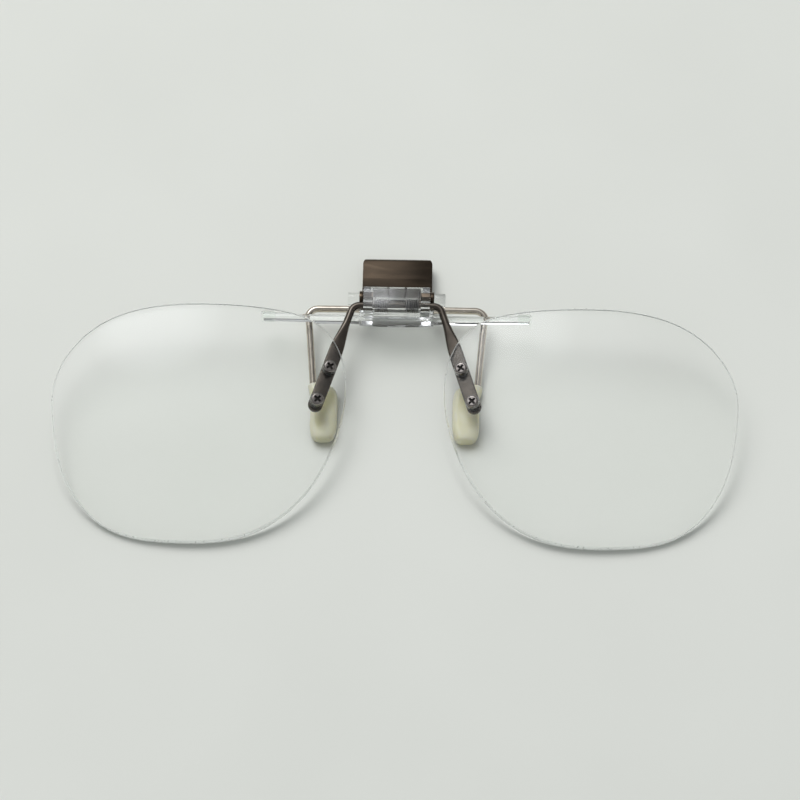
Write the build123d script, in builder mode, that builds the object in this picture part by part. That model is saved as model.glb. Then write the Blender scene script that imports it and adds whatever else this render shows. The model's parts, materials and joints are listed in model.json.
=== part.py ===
from build123d import *

import os
from math import acos, atan2, cos, radians, sin, sqrt

# A pair of rimless reading lenses on a spring clip that grips a spectacle frame at
# the bridge.  Pressing the metal tab opens the rear pads; the lenses flip up on the
# wire that carries them.
#
# The clip lies on its back on a flat surface, as it is laid down after use:
# +X runs across the wearer's face, +Y towards the tab (the top when worn) and +Z
# away from the face.  The origin is the middle of the footprint, on the surface.
# Left and right are as seen from the front, with the tab at the top.
# Units are millimetres.

os.makedirs("parts", exist_ok=True)

# ---------------------------------------------------------------- lenses
EYE_SIZE = 54.0            # width of one lens
LENS_HEIGHT = 45.2         # height of one lens
NOSE_GAP = 18.0            # between the two lenses
FRONT_RADIUS = 88.0        # six-base front curve
BACK_RADIUS = 136.0        # flatter back curve, which gives the reading power
LENS_THICK = 2.8           # at the middle
LENS_BEVEL = 0.2           # safety bevel round both edges
LENS_TILT = 12.5           # lens plane against the surface that the clip lies on
LENS_TOP = -1.3            # top of the lens under the flip axis, in the lens plane

# ---------------------------------------------------------------- lens wire
WIRE_D = 1.35
WIRE_CORNER_X = 8.1        # where the axle turns down into a leg
WIRE_BEND_R = 1.7
LEG_SPLAY = 18.2           # each leg leans outwards by this angle
BLADE_W = 2.7
BLADE_T = 0.6
FLAT_START = 3.4           # along the leg: round wire ends
FLAT_END = 8.2             # along the leg: full blade width begins
UPPER_HOLE = 14.0          # along the leg
LOWER_HOLE = 21.0
BLADE_END = 22.7

# ---------------------------------------------------------------- lens screws
SCREW_D = 1.2
SCREW_HEAD_D = 2.3
SCREW_HEAD_H = 0.62
RECESS_W = 0.44
RECESS_L = 1.5
RECESS_H = 0.4
RECESS_TURN = {"upper": 38, "lower": 24}    # how far each cross is turned, in degrees
WASHER_D = 2.7
WASHER_T = 0.25
SPACER_D = 2.5
SPACER_T = 0.3
LENS_HOLE_D = 1.5

# ---------------------------------------------------------------- clear front bar
BLOCK_HALF = 6.2           # half width of the hinge block
BLOCK_FRONT = 1.8          # front of the block above the flip axis
BLOCK_BOTTOM = -1.6
BLOCK_CORNER_R = 1.0
POCKET_HALF = 4.45         # spring pocket, open to the back
POCKET_FRONT = 1.2
POCKET_TOP = 2.85
POCKET_BOTTOM = -1.3
BORE_CLEARANCE = 0.05      # radial, round the lens wire
PLATE_HALF = 6.9
PLATE_FRONT = 0.3
PLATE_BACK = -1.6
PLATE_BOTTOM = -3.4
PLATE_BOW = 0.3            # the plate's lower edge bows down at its middle
GROOVE_W = 0.18            # fine lines across the face of the plate
GROOVE_DEPTH = 0.12
GROOVE_PITCH = 0.6
GROOVE_COUNT = 3
DIMPLE_D = 0.45            # two gate marks, to the right of the middle
DIMPLE_X = 3.3
DIMPLE_PITCH = 1.2
BAR_HALF = 25.0
BAR_Y = -2.1
BAR_H = 1.35
BAR_FRONT = -1.05
BAR_T = 1.2
TIP_FROM = 22.8            # soft tips on the ends of the bar
TIP_TO = 25.4
TIP_H = 1.75
TIP_T = 1.7

# ---------------------------------------------------------------- clamp lever
PIVOT_Y = 2.2              # lever pivot, above and behind the flip axis
PIVOT_Z = -1.4
PIVOT_ROUND = 1.25         # the block is rounded about the pivot
NECK_R = 0.8
HEAD_R = 1.15
HEAD_TO = 9.1
SIDE_PLAY = 0.1            # between the block and each cheek
SHEET_T = 0.7
CHEEK_RING_R = 1.5
FOOT_Y = 0.9               # rear wire, where it goes through the cheek
FOOT_Z = -3.0
FOOT_R = 1.05
WEB_GAP = 1.45             # pivot to the front of the sheet
WEB_START = 1.0            # the sheet begins this far up from the pivot, so the spring shows
TAB_HALF = 6.6
LOWER_TAB_L = 6.8
LOWER_TAB_SLOPE = 13.0     # leaning back
UPPER_TAB_L = 4.5
UPPER_TAB_SLOPE = 6.0
CURL_L = 1.0
CURL_SLOPE = 55.0
TAB_CORNER_R = 1.6

# ---------------------------------------------------------------- rear wires and pads
REAR_WIRE_D = 1.3
REAR_CORNER_X = 16.9
REAR_BEND_R = 2.0
PAD_X = 13.4
PAD_W = 5.0
PAD_L = 10.7
PAD_T = 2.8
PAD_TOP_Y = -14.7
PAD_CORNER_R = 2.0
PAD_EDGE_R = 0.7
NECK_EDGE_R = 0.4
PAD_NECK_X = 15.6           # the neck stands to the outer side of the pad
PAD_NECK_R = 1.1
PAD_NECK_L = 0.8            # above the top of the pad
PAD_NECK_DOWN = 3.2        # below the top of the pad, where it merges with the side
PAD_WIRE_Z = 1.4           # wire height inside the pad
PAD_WIRE_END = 8.6         # how far the wire reaches into the pad

# ---------------------------------------------------------------- clamp spring
SPRING_WIRE_D = 0.36
SPRING_R = 1.0             # to the middle of the spring wire
SPRING_TURNS = 5           # whole turns of each coil
SPRING_PITCH = 0.42
LOOP_HALF = 1.7            # half width of the middle loop at the coils
LOOP_BEND_R = 0.45
LOOP_REACH = 1.3           # the loop bears on the tab this far up from the pivot
FREE_END_L = 2.3

# ---------------------------------------------------------------- derived sizes
tilt = radians(LENS_TILT)
splay = radians(LEG_SPLAY)
lens_x = (EYE_SIZE + NOSE_GAP) / 2
lens_y = LENS_TOP - LENS_HEIGHT / 2
hole_mid = (UPPER_HOLE + LOWER_HOLE) / 2
mid_x = WIRE_CORNER_X + hole_mid * sin(splay)
mid_y = -hole_mid * cos(splay)
slope_x = (lens_x - mid_x) / BACK_RADIUS     # slope of the lens back at the blade
slope_y = -(mid_y - lens_y) / BACK_RADIUS
leg_slope = slope_x * sin(splay) - slope_y * cos(splay)


def back_sag(distance):
    """How far the lens back falls away at a distance from the lens centre."""
    return BACK_RADIUS - sqrt(BACK_RADIUS**2 - distance**2)


# Height of the lens back above the flip axis, at the middle of the lens.
blade_to_lens = BLADE_T / 2 + SPACER_T
mid_distance = sqrt((lens_x - mid_x) ** 2 + (mid_y - lens_y) ** 2)
back_height = hole_mid * leg_slope + blade_to_lens + back_sag(mid_distance)
edge_back = back_height - back_sag(LENS_HEIGHT / 2)
lens_bottom = LENS_HEIGHT - LENS_TOP

# The flip axis stands so high that the lower lens edges touch the surface.
AXLE_Z = lens_bottom * sin(tilt) - edge_back * cos(tilt)


def toward_tab(slope):
    """Unit step along the tab, leaning back by a slope in degrees, as (y, z)."""
    return cos(radians(slope)), -sin(radians(slope))


low_y, low_z = toward_tab(LOWER_TAB_SLOPE)
up_y, up_z = toward_tab(UPPER_TAB_SLOPE)
curl_y, curl_z = toward_tab(CURL_SLOPE)
sheet_y = PIVOT_Y + WEB_GAP * low_z          # front of the sheet behind the pivot
sheet_z = PIVOT_Z - WEB_GAP * low_y
tab_line = [(sheet_y + WEB_START * low_y, sheet_z + WEB_START * low_z)]
for length, step_y, step_z in (
    (LOWER_TAB_L - WEB_START, low_y, low_z),
    (UPPER_TAB_L, up_y, up_z),
    (CURL_L, curl_y, curl_z),
):
    last_y, last_z = tab_line[-1]
    tab_line.append((last_y + length * step_y, last_z + length * step_z))
tab_top = tab_line[-1][0]

# The footprint runs from the lower lens edges to the top of the tab.
lens_reach = lens_bottom * cos(tilt) + (edge_back + 1.5) * sin(tilt)
AXLE_Y = (lens_reach - tab_top) / 2

lens_frame = Plane(
    origin=(0, AXLE_Y, AXLE_Z),
    x_dir=(1, 0, 0),
    z_dir=(0, -sin(tilt), cos(tilt)),
)


def side_plane(x):
    """Plane across the clip at x: its own X is the clip's Y, its own Y is Z."""
    return Plane(origin=(x, AXLE_Y, AXLE_Z), x_dir=(0, 1, 0), z_dir=(1, 0, 0))


def leg_frame(side):
    """Plane of one leg: X runs down the leg, Z points out of its front."""
    corner = lens_frame.from_local_coords(Vector(side * WIRE_CORNER_X, 0, 0))
    along = Vector(side * sin(splay), -cos(splay), leg_slope)
    front = Vector(-side * slope_x, -slope_y, 1)
    tip = lens_frame.from_local_coords(Vector(side * WIRE_CORNER_X, 0, 0) + along)
    face = lens_frame.from_local_coords(front) - lens_frame.from_local_coords(Vector(0, 0, 0))
    return Plane(origin=corner, x_dir=tip - corner, z_dir=face)


SIDES = ((-1, "left"), (1, "right"))
HOLES = ((UPPER_HOLE, "upper"), (LOWER_HOLE, "lower"))
nodes = []


def keep(builder, name):
    """Label a finished sub-part and write it as its own STEP file."""
    builder.part.label = name
    export_step(builder.part, f"parts/{name}.step")
    nodes.append(name)


# ================================================================ lenses
# Outline of one lens about its centre: outwards from the nose, then upwards.
LENS_OUTLINE = (
    (27.0, 3.0),
    (25.0, 12.2),
    (18.8, 18.6),
    (8.2, 22.1),
    (-3.0, 22.6),
    (-13.8, 21.9),
    (-21.8, 19.3),
    (-25.8, 13.8),
    (-27.0, 6.0),
    (-24.6, -5.1),
    (-18.9, -14.7),
    (-9.3, -21.2),
    (3.8, -22.6),
    (16.0, -20.0),
    (23.8, -11.2),
)

for side, name in SIDES:
    lens_plane = Plane(
        origin=lens_frame.from_local_coords(Vector(side * lens_x, lens_y, 0)),
        x_dir=lens_frame.x_dir,
        z_dir=lens_frame.z_dir,
    )
    front_height = back_height + LENS_THICK
    front_centre = lens_plane.from_local_coords(Vector(0, 0, front_height - FRONT_RADIUS))
    back_centre = lens_plane.from_local_coords(Vector(0, 0, back_height - BACK_RADIUS))
    leg = leg_frame(side)
    with BuildPart() as lens:
        with BuildSketch(lens_plane.offset(-2)):
            with BuildLine():
                Spline(*[(side * out, up) for out, up in LENS_OUTLINE], periodic=True)
            make_face()
        extrude(amount=14)
        with Locations(front_centre):
            Sphere(FRONT_RADIUS, rotation=(90, 0, 0), mode=Mode.INTERSECT)
        with Locations(back_centre):
            Sphere(BACK_RADIUS, rotation=(90, 0, 0), mode=Mode.SUBTRACT)
        rim = lens.edges().filter_by(lambda e: e.length > EYE_SIZE)
        chamfer(rim, LENS_BEVEL)
        for along, _ in HOLES:
            with BuildSketch(leg.offset(-1)):
                with Locations((along, 0)):
                    Circle(LENS_HOLE_D / 2)
            extrude(amount=8, mode=Mode.SUBTRACT)
    keep(lens, f"{name}_lens")

# ================================================================ lens wire
with BuildPart() as lens_wire:
    leg_starts = [leg_frame(side).from_local_coords(Vector(FLAT_START, 0, 0)) for side, _ in SIDES]
    corners = [leg_frame(side).origin for side, _ in SIDES]
    with BuildLine() as wire_path:
        FilletPolyline(leg_starts[0], corners[0], corners[1], leg_starts[1], radius=WIRE_BEND_R)
    with BuildSketch(Plane(origin=leg_starts[0], z_dir=wire_path.line % 0)):
        Circle(WIRE_D / 2)
    sweep()
    for side, _ in SIDES:
        leg = leg_frame(side)
        across = Plane(origin=leg.origin, x_dir=leg.y_dir, z_dir=leg.x_dir)
        with BuildSketch(across.offset(FLAT_START)):
            Circle(WIRE_D / 2)
        with BuildSketch(across.offset(FLAT_END)):
            SlotOverall(BLADE_W, BLADE_T)
        loft()
        with BuildSketch(across.offset(FLAT_END)):
            SlotOverall(BLADE_W, BLADE_T)
        extrude(amount=BLADE_END - BLADE_W / 2 - FLAT_END)
        with BuildSketch(leg.offset(-BLADE_T / 2)):
            with Locations((BLADE_END - BLADE_W / 2, 0)):
                Circle(BLADE_W / 2)
        extrude(amount=BLADE_T)
        for along, _ in HOLES:
            with BuildSketch(leg.offset(-BLADE_T)):
                with Locations((along, 0)):
                    Circle(SCREW_D / 2)
            extrude(amount=2 * BLADE_T, mode=Mode.SUBTRACT)
keep(lens_wire, "lens_wire")


# ================================================================ lens screws
def lens_front(side, along):
    """Height of the lens front over the blade's middle plane, at one hole."""
    leg = leg_frame(side)
    spot = lens_frame.to_local_coords(leg.from_local_coords(Vector(along, 0, 3)))
    reach = sqrt((spot.X - side * lens_x) ** 2 + (spot.Y - lens_y) ** 2)
    drop = FRONT_RADIUS - sqrt(FRONT_RADIUS**2 - reach**2)
    return 3 + back_height + LENS_THICK - drop - spot.Z


def lens_back(side, along):
    """Height of the lens back over the blade's middle plane, at one hole."""
    leg = leg_frame(side)
    spot = lens_frame.to_local_coords(leg.from_local_coords(Vector(along, 0, 0)))
    reach = sqrt((spot.X - side * lens_x) ** 2 + (spot.Y - lens_y) ** 2)
    return back_height - back_sag(reach) - spot.Z


# The lens faces slope under the flat washers and spacers, which stand a little clear.
BACK_CLEARANCE = 0.07
SEAT_CLEARANCE = 0.18

for side, name in SIDES:
    leg = leg_frame(side)
    for along, level in HOLES:
        seat = lens_front(side, along) + SEAT_CLEARANCE
        under_head = seat + WASHER_T
        with BuildPart() as screw:
            with BuildSketch(leg.offset(-BLADE_T / 2 - 0.3)):
                with Locations((along, 0)):
                    Circle(SCREW_D / 2)
            extrude(amount=under_head + BLADE_T / 2 + 0.3)
            with BuildSketch(leg.offset(under_head)):
                with Locations((along, 0)):
                    Circle(SCREW_HEAD_D / 2)
            extrude(amount=SCREW_HEAD_H)
            head_top = screw.faces().sort_by(Axis(leg.origin, leg.z_dir))[-1]
            fillet(head_top.edges(), SCREW_HEAD_H * 0.6)
            with BuildSketch(leg.offset(under_head + SCREW_HEAD_H - RECESS_H)):
                with Locations((along, 0)):
                    Rectangle(RECESS_L, RECESS_W, rotation=side * RECESS_TURN[level])
                    Rectangle(RECESS_W, RECESS_L, rotation=side * RECESS_TURN[level])
            extrude(amount=1, mode=Mode.SUBTRACT)
        keep(screw, f"{name}_{level}_screw")

    with BuildPart() as washers:
        for along, _ in HOLES:
            with BuildSketch(leg.offset(lens_front(side, along) + SEAT_CLEARANCE)):
                with Locations((along, 0)):
                    Circle(WASHER_D / 2)
                    Circle(SCREW_D / 2, mode=Mode.SUBTRACT)
            extrude(amount=WASHER_T)
    keep(washers, f"{name}_lens_washers")

    with BuildPart() as spacers:
        for along, _ in HOLES:
            with BuildSketch(leg.offset(BLADE_T / 2)):
                with Locations((along, 0)):
                    Circle(SPACER_D / 2)
                    Circle(SCREW_D / 2, mode=Mode.SUBTRACT)
            extrude(amount=lens_back(side, along) - BLADE_T / 2 - BACK_CLEARANCE)
    keep(spacers, f"{name}_lens_spacers")

# ================================================================ clear front bar
block_top = PIVOT_Y + PIVOT_ROUND
block_back = PIVOT_Z - PIVOT_ROUND
with BuildPart() as front_bar:
    with BuildSketch(side_plane(-BLOCK_HALF)) as block_outline:
        with Locations((BLOCK_BOTTOM, block_back)):
            Rectangle(
                block_top - BLOCK_BOTTOM,
                BLOCK_FRONT - block_back,
                align=(Align.MIN, Align.MIN),
            )
        top_corners = block_outline.vertices().group_by(Axis.X)[-1].sort_by(Axis.Y)
        fillet(top_corners[0], PIVOT_ROUND - 0.01)
        fillet(block_outline.vertices().group_by(Axis.X)[-1].sort_by(Axis.Y)[-1], BLOCK_CORNER_R)
    extrude(amount=2 * BLOCK_HALF)
    # centre plate with a bowed lower edge
    with BuildSketch(Plane.XY.offset(AXLE_Z + PLATE_BACK)):
        with BuildLine():
            low = AXLE_Y + PLATE_BOTTOM
            high = AXLE_Y + BLOCK_BOTTOM + 0.5
            Polyline((-PLATE_HALF, low), (-PLATE_HALF, high), (PLATE_HALF, high), (PLATE_HALF, low))
            ThreePointArc((-PLATE_HALF, low), (0, low - PLATE_BOW), (PLATE_HALF, low))
        make_face()
    extrude(amount=PLATE_FRONT - PLATE_BACK)
    # fine lines and gate marks in the face of the plate
    groove_mid = AXLE_Y + (PLATE_BOTTOM + BLOCK_BOTTOM) / 2
    with BuildSketch(Plane.XY.offset(AXLE_Z + PLATE_FRONT - GROOVE_DEPTH)):
        with GridLocations(0, GROOVE_PITCH, 1, GROOVE_COUNT):
            with Locations((0, groove_mid)):
                Rectangle(2 * PLATE_HALF - 1, GROOVE_W)
        with Locations((DIMPLE_X, groove_mid)):
            with GridLocations(0, DIMPLE_PITCH, 1, 2):
                Circle(DIMPLE_D / 2)
    extrude(amount=GROOVE_DEPTH, mode=Mode.SUBTRACT)
    # long bar behind the legs of the lens wire
    with BuildSketch(Plane.XY.offset(AXLE_Z + BAR_FRONT - BAR_T)):
        with Locations((0, AXLE_Y + BAR_Y)):
            RectangleRounded(2 * BAR_HALF, BAR_H, 0.3)
    extrude(amount=BAR_T)
    # spring pocket, open to the back
    with BuildSketch(side_plane(-POCKET_HALF)):
        with Locations((POCKET_BOTTOM, block_back - 1)):
            Rectangle(
                POCKET_TOP - POCKET_BOTTOM,
                POCKET_FRONT - block_back + 1,
                align=(Align.MIN, Align.MIN),
            )
    extrude(amount=2 * POCKET_HALF, mode=Mode.SUBTRACT)
    # bore for the lens wire
    with BuildSketch(side_plane(-BLOCK_HALF - 1)):
        Circle(WIRE_D / 2 + BORE_CLEARANCE)
    extrude(amount=2 * BLOCK_HALF + 2, mode=Mode.SUBTRACT)
    # pivots for the lever: a neck for the cheek and a formed head outside it
    for side, _ in SIDES:
        head_from = BLOCK_HALF + 2 * SIDE_PLAY + SHEET_T
        with BuildSketch(side_plane(side * (BLOCK_HALF - 0.5))):
            with Locations((PIVOT_Y, PIVOT_Z)):
                Circle(NECK_R)
        extrude(amount=side * (head_from - BLOCK_HALF + 0.6))
        with BuildSketch(side_plane(side * head_from)):
            with Locations((PIVOT_Y, PIVOT_Z)):
                Circle(HEAD_R)
        extrude(amount=side * (HEAD_TO - head_from))
keep(front_bar, "front_bar")

# Soft clear tips over the ends of the bar.
for side, name in SIDES:
    with BuildPart() as tip:
        with Locations((side * (TIP_FROM + TIP_TO) / 2, AXLE_Y + BAR_Y, AXLE_Z + BAR_FRONT - BAR_T / 2)):
            Box(TIP_TO - TIP_FROM, TIP_H, TIP_T)
        fillet(tip.edges(), 0.3)
        with BuildSketch(Plane.XY.offset(AXLE_Z + BAR_FRONT - BAR_T)):
            with Locations((0, AXLE_Y + BAR_Y)):
                RectangleRounded(2 * BAR_HALF, BAR_H, 0.3)
        extrude(amount=BAR_T, mode=Mode.SUBTRACT)
    keep(tip, f"{name}_bar_tip")

# ================================================================ tab bracket
cheek_from = BLOCK_HALF + SIDE_PLAY
with BuildPart() as tab_bracket:
    # folded sheet: lower tab, upper tab and the rolled top edge
    with BuildSketch(side_plane(-cheek_from - SHEET_T)):
        with BuildLine() as tab_profile:
            FilletPolyline(*tab_line, radius=0.5)
            offset(amount=SHEET_T, side=Side.RIGHT)
        make_face()
    extrude(amount=2 * (cheek_from + SHEET_T))
    # tab outline with rounded corners, wider where the cheeks fold down
    with BuildSketch(Plane.XY.offset(-5)):
        with Locations((0, AXLE_Y + tab_top)):
            RectangleRounded(2 * TAB_HALF, 20, TAB_CORNER_R, align=(Align.CENTER, Align.MAX))
        with Locations((0, AXLE_Y + sheet_y + 2.6)):
            Rectangle(2 * (cheek_from + SHEET_T), 10, align=(Align.CENTER, Align.MAX))
    extrude(amount=20, mode=Mode.INTERSECT)
    # cheeks that hang on the pivots and carry the rear wires
    for side, _ in SIDES:
        with BuildSketch(side_plane(side * cheek_from)) as cheek:
            with Locations((PIVOT_Y, PIVOT_Z)):
                Circle(CHEEK_RING_R)
            with Locations((FOOT_Y, FOOT_Z)):
                Circle(FOOT_R)
            for reach in (0.4, 2.2):
                back_y = sheet_y + reach * low_y + SHEET_T / 2 * low_z
                back_z = sheet_z + reach * low_z - SHEET_T / 2 * low_y
                with Locations((back_y, back_z)):
                    Circle(SHEET_T / 2)
            make_hull()
            with Locations((PIVOT_Y, PIVOT_Z)):
                Circle(NECK_R + BORE_CLEARANCE, mode=Mode.SUBTRACT)
            with Locations((FOOT_Y, FOOT_Z)):
                Circle(REAR_WIRE_D / 2, mode=Mode.SUBTRACT)
        extrude(amount=side * SHEET_T)
keep(tab_bracket, "tab_bracket")


# ================================================================ rear wires and pads
def rear_route(side):
    """Route of one rear wire, from the cheek out, down and into its pad."""
    return (
        (side * cheek_from, AXLE_Y + FOOT_Y, AXLE_Z + FOOT_Z),
        (side * REAR_CORNER_X, AXLE_Y + FOOT_Y, AXLE_Z + FOOT_Z - 0.1),
        (side * PAD_NECK_X, AXLE_Y + PAD_TOP_Y + PAD_NECK_L, PAD_WIRE_Z),
        (side * PAD_X, AXLE_Y + PAD_TOP_Y - PAD_WIRE_END, PAD_WIRE_Z),
    )


for side, name in SIDES:
    with BuildPart() as rear_wire:
        with BuildLine() as rear_path:
            FilletPolyline(*rear_route(side), radius=REAR_BEND_R)
        with BuildSketch(Plane(origin=rear_path.line @ 0, z_dir=rear_path.line % 0)):
            Circle(REAR_WIRE_D / 2)
        sweep()
    keep(rear_wire, f"{name}_rear_wire")

    with BuildPart() as pad:
        with BuildSketch(Plane.XY):
            with Locations((side * PAD_X, AXLE_Y + PAD_TOP_Y)):
                RectangleRounded(PAD_W, PAD_L, PAD_CORNER_R, align=(Align.CENTER, Align.MAX))
        extrude(amount=PAD_T)
        fillet(pad.faces().sort_by(Axis.Z)[-1].edges(), PAD_EDGE_R)
        fillet(pad.faces().sort_by(Axis.Z)[0].edges(), PAD_EDGE_R / 2)
        neck_foot = Vector(side * PAD_NECK_X, AXLE_Y + PAD_TOP_Y + PAD_NECK_L, PAD_WIRE_Z)
        neck_end = Vector(side * PAD_X, AXLE_Y + PAD_TOP_Y - PAD_WIRE_END, PAD_WIRE_Z)
        with BuildSketch(Plane(origin=neck_foot, z_dir=neck_end - neck_foot)):
            Circle(PAD_NECK_R)
        extrude(amount=PAD_NECK_L + PAD_NECK_DOWN)
        fillet(pad.faces().sort_by(Axis.Y)[-1].edges(), NECK_EDGE_R)
        add(rear_wire.part, mode=Mode.SUBTRACT)
    keep(pad, f"{name}_rear_pad")

# ================================================================ clamp spring
# One wire: two coils round the lens wire, a middle loop that pushes the tab back
# and two free ends that bear on the front wall of the pocket.
loop_y = sheet_y + LOOP_REACH * low_y + (SPRING_WIRE_D / 2 + 0.05) * low_z * -1
loop_z = sheet_z + LOOP_REACH * low_z + (SPRING_WIRE_D / 2 + 0.05) * low_y
loop_distance = sqrt(loop_y**2 + loop_z**2)
loop_angle = atan2(loop_z, loop_y) - acos(SPRING_R / loop_distance)
leg_length = sqrt(loop_distance**2 - SPRING_R**2)
turns = SPRING_TURNS + (loop_angle + radians(270)) / radians(360)

with BuildPart() as torsion_spring:
    with BuildLine() as spring_path:
        shoulders = []
        for side, _ in SIDES:
            coil_plane = Plane(
                origin=(side * LOOP_HALF, AXLE_Y, AXLE_Z),
                x_dir=(0, cos(loop_angle), sin(loop_angle)),
                z_dir=(side, 0, 0),
            )
            helix = Helix(
                SPRING_PITCH, turns * SPRING_PITCH, SPRING_R, lefthand=side > 0, mode=Mode.PRIVATE
            )
            coil = helix.moved(coil_plane.location)
            add(coil)
            start, end = coil @ 0, coil @ 1
            shoulders.append((start, start - leg_length * (coil % 0)))
            Line(end, end + FREE_END_L * (coil % 1))
        (left_start, left_top), (right_start, right_top) = shoulders
        FilletPolyline(left_start, left_top, right_top, right_start, radius=LOOP_BEND_R)
    whole = spring_path.wires().sort_by(SortBy.LENGTH)[-1]
    with BuildSketch(Plane(origin=whole @ 0, z_dir=whole % 0)):
        Circle(SPRING_WIRE_D / 2)
    sweep(path=whole)
keep(torsion_spring, "torsion_spring")

print(f"axle at y {AXLE_Y:.3f}, z {AXLE_Z:.3f}; {len(nodes)} nodes")
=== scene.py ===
import json
import math

import bmesh
import bpy
from mathutils import Matrix, Vector, geometry


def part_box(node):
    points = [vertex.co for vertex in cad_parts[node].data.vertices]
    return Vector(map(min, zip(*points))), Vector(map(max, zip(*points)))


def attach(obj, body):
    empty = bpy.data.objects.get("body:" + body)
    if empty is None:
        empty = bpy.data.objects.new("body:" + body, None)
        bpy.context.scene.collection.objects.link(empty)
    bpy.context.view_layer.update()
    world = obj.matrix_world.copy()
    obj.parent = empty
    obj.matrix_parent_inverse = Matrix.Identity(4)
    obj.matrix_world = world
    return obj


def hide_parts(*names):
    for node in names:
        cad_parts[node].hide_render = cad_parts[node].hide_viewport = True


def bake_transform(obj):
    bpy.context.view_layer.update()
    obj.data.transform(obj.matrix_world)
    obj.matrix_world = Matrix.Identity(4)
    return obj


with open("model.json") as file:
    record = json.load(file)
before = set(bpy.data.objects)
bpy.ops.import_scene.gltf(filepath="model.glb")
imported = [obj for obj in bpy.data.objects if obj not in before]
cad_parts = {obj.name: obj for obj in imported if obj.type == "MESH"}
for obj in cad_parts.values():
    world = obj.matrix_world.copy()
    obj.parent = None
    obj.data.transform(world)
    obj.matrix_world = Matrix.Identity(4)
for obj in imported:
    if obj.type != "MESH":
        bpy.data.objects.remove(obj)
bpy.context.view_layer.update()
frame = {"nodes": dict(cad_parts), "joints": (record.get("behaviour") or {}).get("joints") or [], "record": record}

# The clip lies on its back: +X across the face, +Y towards the tab, +Z away from the face.
MM = 0.001
SIDES = ((-1, "left"), (1, "right"))
FLIP = next(j for j in frame["joints"] if j["name"] == "lens_flip")
AXLE = Vector(FLIP["pos_m"])


# ---------------------------------------------------------------- materials
NOISE_LOW = 0.3            # noise mostly lies between these two
NOISE_HIGH = 0.7
PATCH_SIZE = 6             # patches of colour are this many times larger than the grain
PATCH_DETAIL = 2.0
GRAIN_DETAIL = 4.0


def new_material(name):
    """An empty node material, with its output and a texture coordinate in metres."""
    made = bpy.data.materials.new(name)
    made.use_nodes = True
    tree = made.node_tree
    tree.nodes.clear()
    output = tree.nodes.new("ShaderNodeOutputMaterial")
    place = tree.nodes.new("ShaderNodeTexCoord")
    return made, tree, output, place.outputs["Object"]


def noise_node(tree, place, scale, detail, stretch):
    """Noise whose scale is in features per metre, drawn out along an axis if asked."""
    if stretch:
        mapping = tree.nodes.new("ShaderNodeMapping")
        mapping.inputs["Scale"].default_value = stretch
        tree.links.new(place, mapping.inputs["Vector"])
        place = mapping.outputs["Vector"]
    found = tree.nodes.new("ShaderNodeTexNoise")
    found.inputs["Scale"].default_value = scale
    found.inputs["Detail"].default_value = detail
    tree.links.new(place, found.inputs["Vector"])
    return found.outputs["Fac"]


def mapped(tree, factor, low, high):
    """The factor, spread over a range."""
    spread = tree.nodes.new("ShaderNodeMapRange")
    spread.inputs["From Min"].default_value = NOISE_LOW
    spread.inputs["From Max"].default_value = NOISE_HIGH
    spread.inputs["To Min"].default_value = low
    spread.inputs["To Max"].default_value = high
    tree.links.new(factor, spread.inputs["Value"])
    return spread.outputs["Result"]


def two_colours(tree, factor, first, second):
    """A colour that varies between two, by the factor."""
    ramp = tree.nodes.new("ShaderNodeValToRGB")
    ramp.color_ramp.elements[0].position = NOISE_LOW
    ramp.color_ramp.elements[1].position = NOISE_HIGH
    ramp.color_ramp.elements[0].color = (*first, 1)
    ramp.color_ramp.elements[1].color = (*second, 1)
    tree.links.new(factor, ramp.inputs["Fac"])
    return ramp.outputs["Color"]


def bumped(tree, factor, height, strength):
    """A normal from the factor, with bumps of a height in metres."""
    bump = tree.nodes.new("ShaderNodeBump")
    bump.inputs["Strength"].default_value = strength
    bump.inputs["Distance"].default_value = height
    tree.links.new(factor, bump.inputs["Height"])
    return bump.outputs["Normal"]


def finish_material(name, colours, roughness, grain, bump, sockets, shadow=None, stretch=None):
    """A Principled surface with colour, roughness and bump from noise.

    colours and roughness are (low, high) pairs, grain is the bump's scale in features per
    metre, and bump is (height in metres, strength).  sockets are the shader's own values,
    shadow is the light that clear stuff lets through to what lies under it, and stretch
    draws the noise out along an axis.
    """
    made, tree, output, place = new_material(name)
    shader = tree.nodes.new("ShaderNodeBsdfPrincipled")
    for socket, value in sockets.items():
        shader.inputs[socket].default_value = value
    broad = noise_node(tree, place, grain / PATCH_SIZE, PATCH_DETAIL, stretch)
    fine = noise_node(tree, place, grain, GRAIN_DETAIL, stretch)
    tree.links.new(two_colours(tree, broad, *colours), shader.inputs["Base Color"])
    tree.links.new(mapped(tree, fine, *roughness), shader.inputs["Roughness"])
    tree.links.new(bumped(tree, fine, *bump), shader.inputs["Normal"])
    surface = shader.outputs["BSDF"]
    if shadow:
        path = tree.nodes.new("ShaderNodeLightPath")
        through = tree.nodes.new("ShaderNodeBsdfTransparent")
        through.inputs["Color"].default_value = (*shadow, 1)
        for ray in ("Is Shadow Ray", "Is Diffuse Ray"):
            mix = tree.nodes.new("ShaderNodeMixShader")
            tree.links.new(path.outputs[ray], mix.inputs["Fac"])
            tree.links.new(surface, mix.inputs[1])
            tree.links.new(through.outputs["BSDF"], mix.inputs[2])
            surface = mix.outputs["Shader"]
    tree.links.new(surface, output.inputs["Surface"])
    return made


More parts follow.
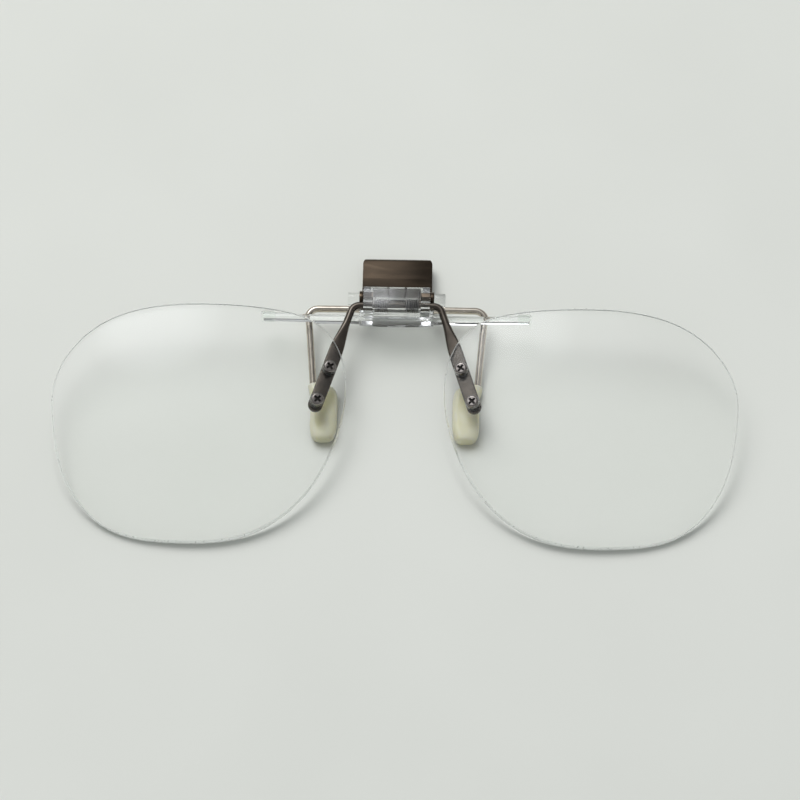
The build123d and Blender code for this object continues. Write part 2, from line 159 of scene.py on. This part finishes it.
FINISHES = {
    "clear_plastic": dict(
        colours=((0.96, 0.975, 0.97), (0.99, 0.995, 0.99)),
        roughness=(0.0, 0.03),
        grain=700,
        bump=(0.00001, 0.05),
        sockets={"Transmission Weight": 1.0, "IOR": 1.46},
        shadow=(0.9, 0.91, 0.9),
    ),
    "clear_silicone": dict(
        colours=((0.93, 0.95, 0.93), (0.97, 0.98, 0.97)),
        roughness=(0.05, 0.12),
        grain=1500,
        bump=(0.00001, 0.2),
        sockets={"Transmission Weight": 1.0, "IOR": 1.12},
        shadow=(0.93, 0.94, 0.93),
    ),
    "lens": dict(
        colours=((0.996, 1.0, 0.996), (1.0, 1.0, 1.0)),
        roughness=(0.0, 0.012),
        grain=250,
        bump=(0.000002, 0.05),
        sockets={"Transmission Weight": 1.0, "IOR": 1.33},
        shadow=(0.995, 1.0, 0.995),
    ),
    "lens_edge": dict(
        colours=((0.88, 0.9, 0.88), (0.95, 0.97, 0.95)),
        roughness=(0.25, 0.4),
        grain=2500,
        bump=(0.00001, 0.25),
        sockets={"Transmission Weight": 0.6, "IOR": 1.5},
        shadow=(0.25, 0.26, 0.25),
    ),
    "gunmetal_wire": dict(
        colours=((0.093, 0.078, 0.064), (0.132, 0.112, 0.093)),
        roughness=(0.12, 0.22),
        grain=3500,
        bump=(0.000012, 0.25),
        sockets={"Metallic": 1.0, "Coat Weight": 0.15},
    ),
    "screw_steel": dict(
        colours=((0.26, 0.235, 0.22), (0.36, 0.33, 0.31)),
        roughness=(0.16, 0.3),
        grain=5000,
        bump=(0.00001, 0.3),
        sockets={"Metallic": 1.0},
    ),
    "clear_nylon": dict(
        colours=((0.9, 0.91, 0.89), (0.96, 0.97, 0.95)),
        roughness=(0.12, 0.25),
        grain=3000,
        bump=(0.00002, 0.25),
        sockets={"Transmission Weight": 1.0, "IOR": 1.53},
        shadow=(0.8, 0.8, 0.8),
    ),
    "brown_gunmetal": dict(
        colours=((0.05, 0.035, 0.022), (0.096, 0.068, 0.044)),
        roughness=(0.12, 0.24),
        grain=2400,
        bump=(0.00001, 0.15),
        sockets={"Metallic": 1.0, "Coat Weight": 0.3, "Coat Roughness": 0.08},
        # the colour's streaks, drawn out across the tab, are partly rolled grain and partly painted reflection
        # bands, as a curved sheet shows
        stretch=(0.25, 1, 1),
    ),
    "nickel_wire": dict(
        colours=((0.56, 0.5, 0.42), (0.72, 0.65, 0.56)),
        roughness=(0.05, 0.1),
        grain=3500,
        bump=(0.00001, 0.22),
        sockets={"Metallic": 1.0, "Coat Weight": 0.1},
    ),
    "pad_silicone": dict(
        colours=((0.9, 0.855, 0.615), (0.96, 0.92, 0.715)),
        roughness=(0.28, 0.42),
        grain=1800,
        bump=(0.00004, 0.25),
        sockets={
            "Transmission Weight": 0.35,
            "IOR": 1.42,
            "Subsurface Weight": 0.6,
            "Subsurface Radius": (0.004, 0.0036, 0.002),
            "Subsurface Scale": 1.0,
        },
        shadow=(0.4, 0.39, 0.28),
    ),
    "spring_steel": dict(
        colours=((0.06, 0.056, 0.052), (0.16, 0.15, 0.14)),
        roughness=(0.25, 0.4),
        grain=6000,
        bump=(0.000008, 0.25),
        sockets={"Metallic": 1.0},
    ),
    # painted shade: a near-black finish for the faces inside the screws' cross recesses, standing in for the shade
    # there
    "recess_painted_shade": dict(
        colours=((0.012, 0.01, 0.009), (0.03, 0.026, 0.023)),
        roughness=(0.35, 0.55),
        grain=5000,
        bump=(0.00001, 0.3),
        sockets={"Metallic": 0.6},
    ),
}
MATERIALS = {name: finish_material(name, **finish) for name, finish in FINISHES.items()}

SLOT_OF = {part["node"]: part["material_slot"] for part in frame["record"]["subparts"]}
for name, node in frame["nodes"].items():
    node.data.materials.clear()
    node.data.materials.append(MATERIALS[SLOT_OF[name]])


# ---------------------------------------------------------------- shared geometry
# The same driving dimensions as the solids have, in millimetres and degrees.
EYE_SIZE = 54.0
LENS_HEIGHT = 45.2
NOSE_GAP = 18.0
FRONT_RADIUS = 88.0
BACK_RADIUS = 136.0
LENS_THICK = 2.8
LENS_BEVEL = 0.2
LENS_HOLE_D = 1.5
LENS_TILT = 12.5
LENS_TOP = -1.3
WIRE_D = 1.35
WIRE_CORNER_X = 8.1
WIRE_BEND_R = 1.7
LEG_SPLAY = 18.2
BLADE_W = 2.7
BLADE_T = 0.6
UPPER_HOLE = 14.0
LOWER_HOLE = 21.0
BLADE_END = 22.7
BAR_H = 1.35
BAR_T = 1.2
BAR_HALF = 25.0
PAD_X = 13.4
PAD_NECK_X = 15.6
PAD_NECK_R = 1.1
PAD_NECK_L = 0.8

tilt = math.radians(LENS_TILT)
splay = math.radians(LEG_SPLAY)
lens_x = (EYE_SIZE + NOSE_GAP) / 2
lens_y = LENS_TOP - LENS_HEIGHT / 2
hole_mid = (UPPER_HOLE + LOWER_HOLE) / 2
slope_x = (lens_x - WIRE_CORNER_X - hole_mid * math.sin(splay)) / BACK_RADIUS
slope_y = (hole_mid * math.cos(splay) + lens_y) / BACK_RADIUS
leg_slope = slope_x * math.sin(splay) - slope_y * math.cos(splay)


def frame_of(origin, along, face):
    """A frame in metres whose X runs along and whose Z is the face's normal."""
    z = face.normalized()
    x = (along - along.dot(z) * z).normalized()
    turned = Matrix((x, z.cross(x), z)).transposed().to_4x4()
    return Matrix.Translation(origin) @ turned


lens_frame = frame_of(AXLE, Vector((1, 0, 0)), Vector((0, -math.sin(tilt), math.cos(tilt))))


def leg_frame(side):
    """The frame of one leg: X runs down the leg, and Z points out of its front."""
    turn = lens_frame.to_3x3()
    along = turn @ Vector((side * math.sin(splay), -math.cos(splay), leg_slope))
    face = turn @ Vector((-side * slope_x, -slope_y, 1))
    return frame_of(lens_frame @ Vector((side * WIRE_CORNER_X * MM, 0, 0)), along, face)


def new_piece(name, mesh, body, slot, *replaced):
    """A piece that stands for CAD nodes, rides on their body and wears their material."""
    piece = bpy.data.objects.new(name, mesh)
    bpy.context.scene.collection.objects.link(piece)
    if not mesh.materials:
        mesh.materials.append(MATERIALS[slot])
    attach(piece, body)
    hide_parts(*replaced)


def evaluated(piece):
    """The piece's mesh with its modifiers applied."""
    graph = bpy.context.evaluated_depsgraph_get()
    mesh = bpy.data.meshes.new_from_object(piece.evaluated_get(graph))
    bpy.data.objects.remove(piece)
    return mesh


def loose_object(mesh):
    """A passing object that carries modifiers for one mesh."""
    made = bpy.data.objects.new("passing", mesh)
    bpy.context.scene.collection.objects.link(made)
    return made


def smooth_by_angle(mesh, degrees):
    """Smooth shading, with edges sharper than an angle kept sharp."""
    for face in mesh.polygons:
        face.use_smooth = True
    mesh.set_sharp_from_angle(angle=math.radians(degrees))


def skin(rings):
    """A closed mesh over rings of points that all have the same count."""
    count = len(rings[0])
    points = [point for ring in rings for point in ring]
    faces = []
    for row in range(0, len(points) - count, count):
        for column in range(count):
            after = (column + 1) % count
            faces.append((row + column, row + after, row + count + after, row + count + column))
    faces.append(tuple(reversed(range(count))))
    faces.append(tuple(range(len(points) - count, len(points))))
    mesh = bpy.data.meshes.new("skin")
    mesh.from_pydata(points, [], faces)
    made = bmesh.new()
    made.from_mesh(mesh)
    bmesh.ops.recalc_face_normals(made, faces=made.faces)
    made.to_mesh(mesh)
    made.free()
    return mesh


def ease(value):
    """A smooth step from 0 to 1."""
    value = min(max(value, 0.0), 1.0)
    return value * value * (3 - 2 * value)


# ---------------------------------------------------------------- lenses
LENS_TURNS = 288           # points round the outline
LENS_RINGS = 20            # rings from the middle of each face to its rim
FIRST_RING = 0.15          # the innermost ring's place, as a share of one ring's width
OUTLINE_PASSES = 3         # passes that smooth the outline read from the solid
DRILL_SIDES = 32
DRILL_LENGTH = 8.0
DRILL_HEIGHT = 3.0         # from the wire's plane to the middle of the drill
FACE_NEAR = 0.02           # how near to its sphere a point of a lens face lies
WALL_BLEND = 0.85          # wall faces shade as one where their normals agree this well


def smoothed(radii):
    """Radii round an outline, each one blended with its two neighbours."""
    count = len(radii)
    return [(radii[i - 1] + 2 * radii[i] + radii[(i + 1) % count]) / 4 for i in range(count)]


def lens_outline(node):
    """The lens's side, its radii at evenly spaced angles and the height of its front's centre.

    They are read from the solid's own rim.
    """
    side = 1 if node.startswith("right") else -1
    home = lens_frame.inverted()
    local = [home @ vertex.co / MM for vertex in frame["nodes"][node].data.vertices]
    flat = [Vector((point.x - side * lens_x, point.y - lens_y)) for point in local]
    hull = [flat[i] for i in geometry.convex_hull_2d(flat)]
    polar = sorted((math.atan2(point.y, point.x), point.length) for point in hull)
    last = (polar[-1][0] - math.tau, polar[-1][1])
    first = (polar[0][0] + math.tau, polar[0][1])
    polar = [last] + polar + [first]
    radii = []
    segment = 0
    for turn in range(LENS_TURNS):
        angle = -math.pi + math.tau * turn / LENS_TURNS
        while polar[segment + 1][0] < angle:
            segment += 1
        (start, low), (end, high) = polar[segment], polar[segment + 1]
        radii.append(low + (high - low) * (angle - start) / (end - start))
    for _ in range(OUTLINE_PASSES):
        radii = smoothed(radii)
    top = max(point.z for point in local)
    highest = next(point for point in local if point.z == top)
    reach = math.hypot(highest.x - side * lens_x, highest.y - lens_y)
    front_centre = top - math.sqrt(FRONT_RADIUS**2 - reach**2)
    return side, radii, front_centre


def lens_blank(side, radii, front_centre, back_centre):
    """The undrilled lens: two spherical faces, a safety bevel on each and a wall."""

    def ring(share, inset, height):
        points = []
        for turn, radius in enumerate(radii):
            angle = -math.pi + math.tau * turn / LENS_TURNS
            reach = (radius - inset) * share
            point = Vector((side * lens_x, lens_y, 0))
            point += Vector((reach * math.cos(angle), reach * math.sin(angle), height(reach)))
            points.append(lens_frame @ (point * MM))
        return points

    def front(reach):
        return front_centre + math.sqrt(FRONT_RADIUS**2 - reach**2)

    def back(reach):
        return back_centre + math.sqrt(BACK_RADIUS**2 - reach**2)

    shares = [(i + FIRST_RING) / LENS_RINGS for i in range(LENS_RINGS)] + [1.0]
    rings = [ring(share, LENS_BEVEL, front) for share in shares]
    rings.append(ring(1.0, 0, lambda reach: front(reach) - LENS_BEVEL))
    rings.append(ring(1.0, 0, lambda reach: back(reach) + LENS_BEVEL))
    rings += [ring(share, LENS_BEVEL, back) for share in reversed(shares)]
    mesh = skin(rings)
    mesh.materials.append(MATERIALS["lens"])
    mesh.materials.append(MATERIALS["lens_edge"])
    return mesh


def drilled(mesh, side):
    """The lens mesh with its two screw holes."""
    cutter = bpy.data.meshes.new("cutter")
    cut = bmesh.new()
    for along in (UPPER_HOLE, LOWER_HOLE):
        place = leg_frame(side) @ Matrix.Translation(Vector((along, 0, DRILL_HEIGHT)) * MM)
        bmesh.ops.create_cone(
            cut,
            cap_ends=True,
            segments=DRILL_SIDES,
            radius1=LENS_HOLE_D / 2 * MM,
            radius2=LENS_HOLE_D / 2 * MM,
            depth=DRILL_LENGTH * MM,
            matrix=place,
        )
    cut.to_mesh(cutter)
    cut.free()
    drill = loose_object(cutter)
    blank = loose_object(mesh)
    holes = blank.modifiers.new("holes", "BOOLEAN")
    holes.object = drill
    holes.operation = "DIFFERENCE"
    holes.solver = "EXACT"
    mesh = evaluated(blank)
    bpy.data.objects.remove(drill)
    return mesh


def on_sphere(mesh, face, centre, radius):
    """True if every corner of the face lies on the sphere."""
    corners = (mesh.vertices[v].co for v in face.vertices)
    return all(abs((corner - centre).length - radius * MM) < FACE_NEAR * MM for corner in corners)


def shade_lens(mesh, front_point, back_point):
    """The spheres' own normals on the two faces, and blended ones with edge material on the wall."""
    kinds = []
    wall = {}
    for face in mesh.polygons:
        face.use_smooth = True
        if on_sphere(mesh, face, front_point, FRONT_RADIUS):
            kinds.append("front")
        elif on_sphere(mesh, face, back_point, BACK_RADIUS):
            kinds.append("back")
        else:
            kinds.append("wall")
            for v in face.vertices:
                wall[v] = wall.get(v, Vector((0, 0, 0))) + face.normal
        face.material_index = 1 if kinds[-1] == "wall" else 0
    normals = [None] * len(mesh.loops)
    for face, kind in zip(mesh.polygons, kinds):
        for loop in face.loop_indices:
            v = mesh.loops[loop].vertex_index
            place = mesh.vertices[v].co
            if kind == "front":
                normals[loop] = (place - front_point).normalized()
            elif kind == "back":
                normals[loop] = (back_point - place).normalized()
            else:
                blended = wall[v].normalized()
                agrees = blended.dot(face.normal) > WALL_BLEND
                normals[loop] = blended if agrees else face.normal.copy()
    mesh.normals_split_custom_set([tuple(normal) for normal in normals])


def make_lens(node):
    """A lens with true spherical faces, a safety bevel, a ground edge and two screw holes."""
    side, radii, front_centre = lens_outline(node)
    back_centre = front_centre + FRONT_RADIUS - LENS_THICK - BACK_RADIUS
    mesh = drilled(lens_blank(side, radii, front_centre, back_centre), side)
    front_point = lens_frame @ (Vector((side * lens_x, lens_y, front_centre)) * MM)
    back_point = lens_frame @ (Vector((side * lens_x, lens_y, back_centre)) * MM)
    shade_lens(mesh, front_point, back_point)
    new_piece(f"{node}_ground", mesh, "lens_unit", "lens", node)


for _, name in SIDES:
    make_lens(f"{name}_lens")


# ---------------------------------------------------------------- lens wire
WIRE_POINTS = 32           # points round the wire
AXLE_STEPS = 8             # steps along each half of the axle, then each bend, leg and blade tip
BEND_STEPS = 14
LEG_STEPS = 48
TIP_STEPS = 12
TIP_STOP = 12.4            # the tip's last section stops just short of a point
AXLE_GAP = 0.1             # the straight stretches stop just short of the bend
LEG_GAP = 0.2
FLAT_START = 3.0           # the wire flattens over a longer stretch than the solid's
FLAT_END = 10.0
WIRE_SMOOTH = 40           # degrees


def wire_section(place, across, normal, half_width, half_thick):
    """A slot-shaped section, which is a circle where both halves are the same."""
    points = []
    for i in range(WIRE_POINTS):
        angle = math.tau * (i + 0.5) / WIRE_POINTS
        shift = math.copysign(half_width - half_thick, math.cos(angle))
        out = half_thick * math.cos(angle) + shift
        up = half_thick * math.sin(angle)
        points.append(place + (across * out + normal * up) * MM)
    return points


def leg_sections(side):
    """Sections of one half of the lens wire, from the middle of the axle to the blade's tip.

    Each step is a place, a direction, how flat the wire is (0 to 1) and how narrow (1 to 0).
    """
    leg = leg_frame(side)
    turn = leg.to_3x3()
    down, face = turn @ Vector((1, 0, 0)), turn @ Vector((0, 0, 1))
    corner = leg.translation
    axle_way = Vector((side, 0, 0))
    bend = down.angle(axle_way)
    cut_back = WIRE_BEND_R * math.tan(bend / 2)
    start = corner - axle_way * cut_back * MM
    centre_way = (down - axle_way * down.dot(axle_way)).normalized()
    centre = start + centre_way * WIRE_BEND_R * MM
    steps = []
    axle_end = WIRE_CORNER_X - cut_back - AXLE_GAP
    for i in range(AXLE_STEPS + 1):
        steps.append((AXLE + axle_way * (i / AXLE_STEPS * axle_end) * MM, axle_way, 0, 1))
    for i in range(BEND_STEPS + 1):
        angle = bend * i / BEND_STEPS
        way = axle_way * math.cos(angle) + centre_way * math.sin(angle)
        out = axle_way * math.sin(angle) - centre_way * math.cos(angle)
        steps.append((centre + out * WIRE_BEND_R * MM, way, 0, 1))
    round_end = BLADE_END - BLADE_W / 2
    first = cut_back + LEG_GAP
    for i in range(LEG_STEPS + 1):
        along = first + (round_end - first) * i / LEG_STEPS
        flat = ease((along - FLAT_START) / (FLAT_END - FLAT_START))
        steps.append((corner + down * along * MM, down, flat, 1))
    for i in range(1, TIP_STEPS + 1):
        angle = math.pi / 2 * i / TIP_STOP
        along = round_end + BLADE_W / 2 * math.sin(angle)
        steps.append((corner + down * along * MM, down, 1, math.cos(angle)))
    sections = []
    for place, way, flat, narrow in steps:
        normal = (face - way * face.dot(way)).normalized()
        across = normal.cross(way) * side
        half_thick = WIRE_D / 2 + (BLADE_T - WIRE_D) / 2 * flat
        half_width = (WIRE_D + (BLADE_W - WIRE_D) * flat) / 2 * narrow
        half_thick = min(half_thick, half_width)
        sections.append(wire_section(place, across, normal, half_width, half_thick))
    return sections


wire_mesh = skin(list(reversed(leg_sections(-1)))[:-1] + leg_sections(1))
smooth_by_angle(wire_mesh, WIRE_SMOOTH)
new_piece("bent_lens_wire", wire_mesh, "lens_unit", "gunmetal_wire", "lens_wire")

# ---------------------------------------------------------------- screws
RECESS_REACH = 0.8         # from the screw's axis to the end of its cross recess
RECESS_DEPTH = 0.45
RECESS_RIM = 0.03          # the head's top face is left bright


def paint_recess_shade(side, name, level):
    """Painted shade: near-black faces inside the cross recess of one screw, where shade falls."""
    screw = frame["nodes"][f"{name}_{level}_screw"].data
    screw.materials.append(MATERIALS["recess_painted_shade"])
    home = leg_frame(side).inverted()
    head_top = max((home @ vertex.co / MM).z for vertex in screw.vertices)
    along = UPPER_HOLE if level == "upper" else LOWER_HOLE
    for face in screw.polygons:
        middle = home @ face.center / MM
        deep = head_top - RECESS_DEPTH < middle.z < head_top - RECESS_RIM
        if deep and math.hypot(middle.x - along, middle.y) < RECESS_REACH:
            face.material_index = 1


for side, name in SIDES:
    for level in ("upper", "lower"):
        paint_recess_shade(side, name, level)


# ---------------------------------------------------------------- rear pads
PAD_VOXEL = 0.11
PAD_SOFTEN = 6             # smoothing passes after the remesh
PAD_HALF_W = 2.5
PAD_HALF_T = 1.4
PAD_ROWS = 40              # sections along the pad, and points round each one
PAD_TURNS = 48
PAD_TIP = 0.985            # the end sections stop just short of a point
END_POWER = 4              # the higher, the squarer: the pad's outline and its thickness
THICK_POWER = 7
SIDE_POWER = 0.5           # the lower, the squarer: the section across and up
UP_POWER = 0.62
PAD_DISH = 0.12            # depth of the oval dish in the face of each pad
DISH_W = 0.62              # the dish's size, as shares of the pad's
DISH_L = 0.74
DISH_RIM = 1.25            # the dish rises over a band of its outer oval
DISH_BAND = 0.6
NECK_BACK = 4.4            # how far the neck runs down the side of the pad
NECK_AIM = 9.4             # how far below the neck's top its axis meets the pad's axis
NECK_STEPS = 22
NECK_TURNS = 24
NECK_ROUND = 0.07          # the share of the neck over which its top rounds off
NECK_TIP = 0.06            # and how blunt that top starts
NECK_THIN = 0.35           # how much thinner the neck gets inside the pad
TAPER_RATE = 1.6           # how fast along the neck, and how late
TAPER_DELAY = 0.6


def power(value, exponent):
    """A power that keeps its sign, as a rounded rectangle's outline needs."""
    return math.copysign(abs(value) ** exponent, value)


def pad_body(centre, half_l):
    """A rounded block with a shallow oval dish in its upper face."""
    rings = []
    for row in range(PAD_ROWS + 1):
        slide = math.sin(math.pi / 2 * (2 * row / PAD_ROWS - 1) * PAD_TIP)
        end = (1 - abs(slide) ** END_POWER) ** (1 / END_POWER)
        thin = (1 - abs(slide) ** THICK_POWER) ** (1 / THICK_POWER)
        ring = []
        for turn in range(PAD_TURNS):
            angle = math.tau * turn / PAD_TURNS
            out = PAD_HALF_W * end * power(math.cos(angle), SIDE_POWER)
            up = PAD_HALF_T * thin * power(math.sin(angle), UP_POWER)
            if up > 0:
                oval = (out / (PAD_HALF_W * DISH_W)) ** 2 + (slide / DISH_L) ** 2
                up -= PAD_DISH * ease((DISH_RIM - oval) / DISH_BAND)
            ring.append(centre + Vector((out, slide * half_l, up)) * MM)
        rings.append(ring)
    return skin(rings)


def pad_neck(top, way):
    """The neck that takes the wire's end, rounded at its top and thinner inside the pad."""
    lift = Vector((0, 0, 1))
    across = way.cross(lift)
    turns = [math.tau * i / NECK_TURNS for i in range(NECK_TURNS)]
    rings = []
    for step in range(NECK_STEPS + 1):
        share = step / NECK_STEPS
        rounded = min(1.0, (share / NECK_ROUND + NECK_TIP) ** 0.5)
        taper = 1 - NECK_THIN * ease(share * TAPER_RATE - TAPER_DELAY)
        radius = PAD_NECK_R * rounded * taper
        spot = top + way * NECK_BACK * share
        rings.append([(spot + (across * math.cos(a) + lift * math.sin(a)) * radius) * MM for a in turns])
    return skin(rings)


def make_pad(side, name):
    """A moulded silicone pad with soft edges, a shallow oval dish and a neck for its wire."""
    low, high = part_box(f"{name}_rear_pad")
    top = high.y / MM
    body_top = high.y - PAD_NECK_L * MM
    half_l = (body_top - low.y) / 2 / MM
    body = pad_body(Vector((side * PAD_X * MM, (body_top + low.y) / 2, PAD_HALF_T * MM)), half_l)
    neck_top = Vector((side * PAD_NECK_X, top, PAD_HALF_T))
    neck_way = (Vector((side * PAD_X, top - NECK_AIM, PAD_HALF_T)) - neck_top).normalized()
    neck = pad_neck(neck_top, neck_way)
    both = bmesh.new()
    both.from_mesh(body)
    both.from_mesh(neck)
    joined = bpy.data.meshes.new("pad")
    both.to_mesh(joined)
    both.free()
    raw = loose_object(joined)
    remesh = raw.modifiers.new("skin", "REMESH")
    remesh.mode = "VOXEL"
    remesh.voxel_size = PAD_VOXEL * MM
    soften = raw.modifiers.new("soften", "SMOOTH")
    soften.factor = 0.5
    soften.iterations = PAD_SOFTEN
    mesh = evaluated(raw)
    mesh.materials.clear()
    for face in mesh.polygons:
        face.use_smooth = True
    new_piece(f"{name}_moulded_pad", mesh, "clamp_lever", "pad_silicone", f"{name}_rear_pad")


for side, name in SIDES:
    make_pad(side, name)


# ---------------------------------------------------------------- softened edges
WELD = 0.002               # mesh points nearer than this are one point
FLAT_ANGLE = 1.5           # degrees between faces that count as one flat face
SHARP_ANGLE = 35.0         # and of the edges that get rounded over
SOFT_ANGLE = 28.0          # and of the edges that still shade as sharp after that
MOULDED_EDGE = 0.09
PRESSED_EDGE = 0.07


def soften_edges(node, name, body, width):
    """The solid's own shape, with its sharp edges rounded over as moulding or tumbling does."""
    made = bmesh.new()
    made.from_mesh(frame["nodes"][node].data)
    bmesh.ops.remove_doubles(made, verts=made.verts, dist=WELD * MM)
    flat = math.radians(FLAT_ANGLE)
    bmesh.ops.dissolve_limit(made, angle_limit=flat, verts=made.verts, edges=made.edges)
    edges = [
        edge
        for edge in made.edges
        if len(edge.link_faces) == 2 and edge.calc_face_angle(0) > math.radians(SHARP_ANGLE)
    ]
    bmesh.ops.bevel(
        made,
        geom=edges,
        offset=width * MM,
        segments=2,
        profile=0.5,
        affect="EDGES",
        clamp_overlap=True,
    )
    made.verts.index_update()
    points = [vertex.co.copy() for vertex in made.verts]
    faces = [[vertex.index for vertex in face.verts] for face in made.faces]
    made.free()
    # a fresh mesh, because the solid's split normals don't fit the rounded edges
    mesh = bpy.data.meshes.new(name)
    mesh.from_pydata(points, [], faces)
    smooth_by_angle(mesh, SOFT_ANGLE)
    new_piece(name, mesh, body, SLOT_OF[node], node)


soften_edges("front_bar", "moulded_front_bar", "front_clip", MOULDED_EDGE)
soften_edges("tab_bracket", "pressed_tab", "clamp_lever", PRESSED_EDGE)

# ---------------------------------------------------------------- bar tips
BORE_PLAY = 0.03           # air round the bar's end, so that the two clear faces stay apart
ON_BORE = 0.01             # how near to the bore a point of it lies


def make_tip(side, name):
    """A soft tip, with its bore opened out by a little air round the end of the bar."""
    node = f"{name}_bar_tip"
    low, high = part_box(node)
    mouth = Vector((low.x if side > 0 else high.x, (low.y + high.y) / 2, (low.z + high.z) / 2))
    depth = BAR_HALF - abs(mouth.x) / MM
    bore = Vector((depth, BAR_H / 2, BAR_T / 2))
    mesh = frame["nodes"][node].data.copy()
    for vertex in mesh.vertices:
        out = (vertex.co - mouth) / MM
        if all(abs(out[i]) < bore[i] + ON_BORE for i in range(3)):
            opened = Vector([out[i] * (1 + BORE_PLAY / bore[i]) for i in range(3)])
            vertex.co = mouth + opened * MM
    new_piece(f"{name}_soft_tip", mesh, "front_clip", "clear_silicone", node)


for side, name in SIDES:
    make_tip(side, name)


def make_spring():
    """A smooth-shaded copy of the spring's solid, with its transform baked into the mesh."""
    mesh = frame["nodes"]["torsion_spring"].data.copy()
    for face in mesh.polygons:
        face.use_smooth = True
    spring = bpy.data.objects.new("wound_spring", mesh)
    bpy.context.scene.collection.objects.link(spring)
    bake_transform(spring)
    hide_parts("torsion_spring")


make_spring()

# ---------------------------------------------------------------- floor, light, camera
FLOOR_SIZE = 6.0           # metres, as are the window's distance and size
WINDOW = Vector((-0.42, 0.78, 1.35)).normalized()
WINDOW_DISTANCE = 1.2
WINDOW_SIZE = 0.9
WINDOW_POWER = 8.1         # watts
WINDOW_COLOUR = (1.0, 0.985, 0.955)
SKY_COLOUR = (0.95, 0.975, 1.0, 1)
# The sky's strength by the cosine to the window's direction: outer edge, inner edge, low, high.
HALO = (0.8, 0.98, 0.3, 1.3)
GLOW = (0.955, 0.995, 0.0, 3.1)


def make_floor():
    """A plain pale floor with a faint paper grain."""
    half = FLOOR_SIZE / 2
    corners = [(-half, -half, 0), (half, -half, 0), (half, half, 0), (-half, half, 0)]
    mesh = bpy.data.meshes.new("floor")
    mesh.from_pydata(corners, [], [(0, 1, 2, 3)])
    paper = finish_material(
        "floor_paper",
        colours=((0.70, 0.715, 0.675), (0.725, 0.74, 0.70)),
        roughness=(0.75, 0.9),
        grain=120,
        bump=(0.00002, 0.05),
        sockets={"Specular IOR Level": 0.2},
    )
    mesh.materials.append(paper)
    floor = bpy.data.objects.new("floor", mesh)
    bpy.context.scene.collection.objects.link(floor)


make_floor()


def window_light():
    """One large soft light that looks at the clip from the window's direction."""
    lamp = bpy.data.lights.new("window_light", "AREA")
    lamp.shape = "SQUARE"
    lamp.size = WINDOW_SIZE
    lamp.energy = WINDOW_POWER
    lamp.color = WINDOW_COLOUR
    made = bpy.data.objects.new("window_light", lamp)
    made.location = WINDOW * WINDOW_DISTANCE
    made.rotation_euler = WINDOW.to_track_quat("Z", "Y").to_euler()
    # its reflections come from the sky's soft glow instead, which has no hard edge
    made.visible_glossy = False
    made.visible_transmission = False
    bpy.context.scene.collection.objects.link(made)


def studio_world():
    """An even sky with a soft glow round the window's direction and a wide halo round that."""
    world = bpy.data.worlds.new("studio")
    bpy.context.scene.world = world
    world.use_nodes = True
    tree = world.node_tree
    background = tree.nodes["Background"]
    background.inputs["Color"].default_value = SKY_COLOUR
    place = tree.nodes.new("ShaderNodeTexCoord")
    toward = tree.nodes.new("ShaderNodeVectorMath")
    toward.operation = "DOT_PRODUCT"
    toward.inputs[1].default_value = WINDOW
    tree.links.new(place.outputs["Generated"], toward.inputs[0])
    both = tree.nodes.new("ShaderNodeMath")
    both.operation = "ADD"
    for socket, (outer, inner, low, high) in enumerate((HALO, GLOW)):
        spread = tree.nodes.new("ShaderNodeMapRange")
        spread.interpolation_type = "SMOOTHSTEP"
        spread.inputs["From Min"].default_value = outer
        spread.inputs["From Max"].default_value = inner
        spread.inputs["To Min"].default_value = low
        spread.inputs["To Max"].default_value = high
        tree.links.new(toward.outputs["Value"], spread.inputs["Value"])
        tree.links.new(spread.outputs["Result"], both.inputs[socket])
    tree.links.new(both.outputs["Value"], background.inputs["Strength"])


window_light()
studio_world()
bpy.context.scene.view_settings.view_transform = "Standard"

CAMERA_ELEVATION = 62.0    # degrees above the floor
CAMERA_AZIMUTH = 1.0
CAMERA_DISTANCE = 0.458
CAMERA_TARGET = Vector((0.9, 0.5, 0.0)) * MM
CAMERA_ANGLE = 18.5
CAMERA_NEAR = 0.01


def make_camera():
    """The camera looks down at the clip from the lower edges of the lenses."""
    elevation = math.radians(CAMERA_ELEVATION)
    azimuth = math.radians(CAMERA_AZIMUTH)
    flat = math.cos(elevation)
    away = Vector((math.sin(azimuth) * flat, -math.cos(azimuth) * flat, math.sin(elevation)))
    data = bpy.data.cameras.new("photo_camera")
    data.angle = math.radians(CAMERA_ANGLE)
    data.clip_start = CAMERA_NEAR
    camera = bpy.data.objects.new("photo_camera", data)
    camera.location = CAMERA_TARGET + away * CAMERA_DISTANCE
    camera.rotation_euler = away.to_track_quat("Z", "Y").to_euler()
    bpy.context.scene.collection.objects.link(camera)
    bpy.context.scene.camera = camera


make_camera()
